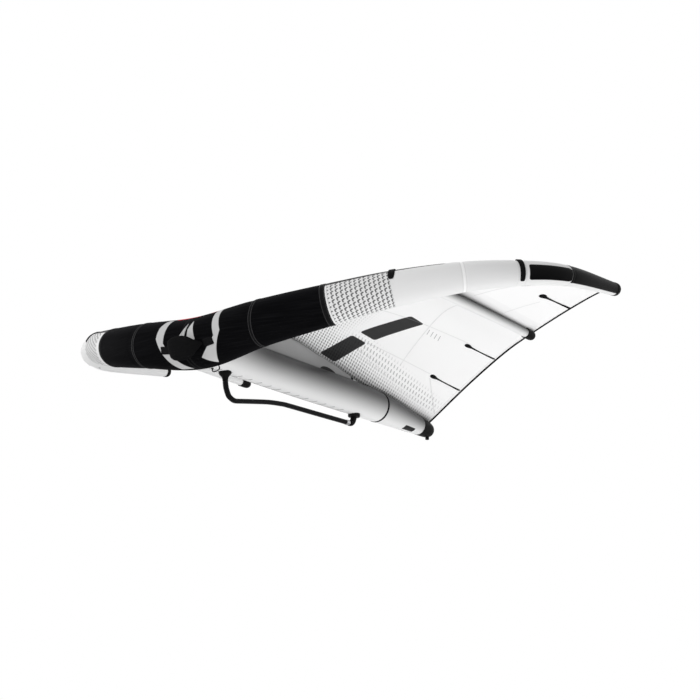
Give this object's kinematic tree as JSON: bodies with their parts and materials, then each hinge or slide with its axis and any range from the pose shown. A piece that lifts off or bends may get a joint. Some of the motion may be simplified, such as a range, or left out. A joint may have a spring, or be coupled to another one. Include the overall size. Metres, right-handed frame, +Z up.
{
  "type": "wingfoil wing",
  "caption": "Inflatable hand-held wing with a swept leading edge tube, centre strut, two slender struts, thin canopy, rigid boom, grab handle and inflation valve.",
  "frame": {"origin": "the middle of the wing's footprint, level with the lowest point, which is the front bend of the boom", "axes": "+X is the span towards the wing's left tip as flown, +Y runs from the leading edge back to the trailing edge, +Z is up, from the boom to the canopy"},
  "size_m": [3.2542, 2.1274, 0.6641],
  "materials": {
    "black_weave": "black woven cloth with a soft sheen",
    "black_trim": "black reinforcement cloth, satin",
    "black_webbing": "black woven webbing",
    "grey_piping": "dark grey seam tape",
    "white_cloth": "white woven polyester, satin",
    "white_canopy": "white ripstop, thin and slightly translucent",
    "grey_web": "grey cloth",
    "clear_bladder": "pale translucent film",
    "black_plastic": "black moulded plastic, satin",
    "valve_plastic": "black moulded plastic, matte",
    "white_plastic": "white moulded plastic, satin",
    "black_hose": "black flexible hose, matte",
    "black_foam": "black foam-filled cloth",
    "boom_black": "black anodised, satin",
    "silver": "bare satin metal"
  },
  "bodies": {
    "wing": {"le_center_panel": "black_weave", "le_inner_panel_right": "black_weave", "le_inner_panel_left": "black_weave", "le_pattern_panel_right": "white_cloth", "le_pattern_panel_left": "white_cloth", "le_mid_panel_right": "white_cloth", "le_mid_panel_left": "white_cloth", "le_outer_panel_right": "white_cloth", "le_outer_panel_left": "white_cloth", "le_kink_panel_right": "white_cloth", "le_kink_panel_left": "white_cloth", "le_tip_panel_right": "black_trim", "le_tip_panel_left": "black_trim", "le_piping_right": "grey_piping", "le_piping_left": "grey_piping", "le_stripe_right": "grey_piping", "le_stripe_left": "grey_piping", "le_kink_ring_right": "grey_piping", "le_kink_ring_left": "grey_piping", "le_bar_inner_right": "black_trim", "le_bar_inner_left": "black_trim", "le_bar_outer_right": "black_trim", "le_bar_outer_left": "black_trim", "le_tip_cap_right": "black_plastic", "le_tip_cap_left": "black_plastic", "canopy": "white_canopy", "web_panel": "grey_web", "batten_inner_right": "black_trim", "batten_inner_left": "black_trim", "batten_middle_right": "black_trim", "batten_middle_left": "black_trim", "batten_outer_right": "black_trim", "batten_outer_left": "black_trim", "mid_strut_right": "white_cloth", "mid_strut_left": "white_cloth", "mid_strut_cap_right": "black_plastic", "mid_strut_cap_left": "black_plastic", "mid_strut_bladder_right": "clear_bladder", "mid_strut_bladder_left": "clear_bladder", "strut_front_panel": "white_cloth", "strut_rear_panel": "white_cloth", "strut_piping": "black_trim", "strut_end_cap": "black_plastic", "strut_bladder": "clear_bladder", "le_bladder": "clear_bladder", "boom_tube": "boom_black", "boom_collar": "silver", "boom_front_mount": "black_plastic", "boom_rear_mount": "black_plastic", "handle_anchor_right": "black_webbing", "handle_anchor_left": "black_webbing", "valve_body": "valve_plastic", "one_pump_hose": "black_hose", "hose_port_le": "valve_plastic", "hose_port_strut": "valve_plastic"},
    "handle": {"handle_pad": "black_foam"},
    "cap": {"valve_cap": "valve_plastic"},
    "button": {"valve_stem": "white_plastic"}
  },
  "joints": [
    {"name": "handle_swing", "type": "hinge", "parent": "wing", "child": "handle", "pos_m": [0.01733, -0.9986, 0.19361], "axis": [1, 0, 0], "range_deg": [-40, 40]},
    {"name": "valve_cap_hinge", "type": "hinge", "parent": "wing", "child": "cap", "pos_m": [-0.20392, -0.75555, 0.22044], "axis": [0.9916, 0.0379, -0.1241], "range_deg": [0, 150]},
    {"name": "valve_button_press", "type": "slide", "parent": "wing", "child": "button", "axis": [0.0903, -0.8883, 0.4504], "range_m": [0, 0.005], "stiffness_N_per_m": 60}
  ]
}
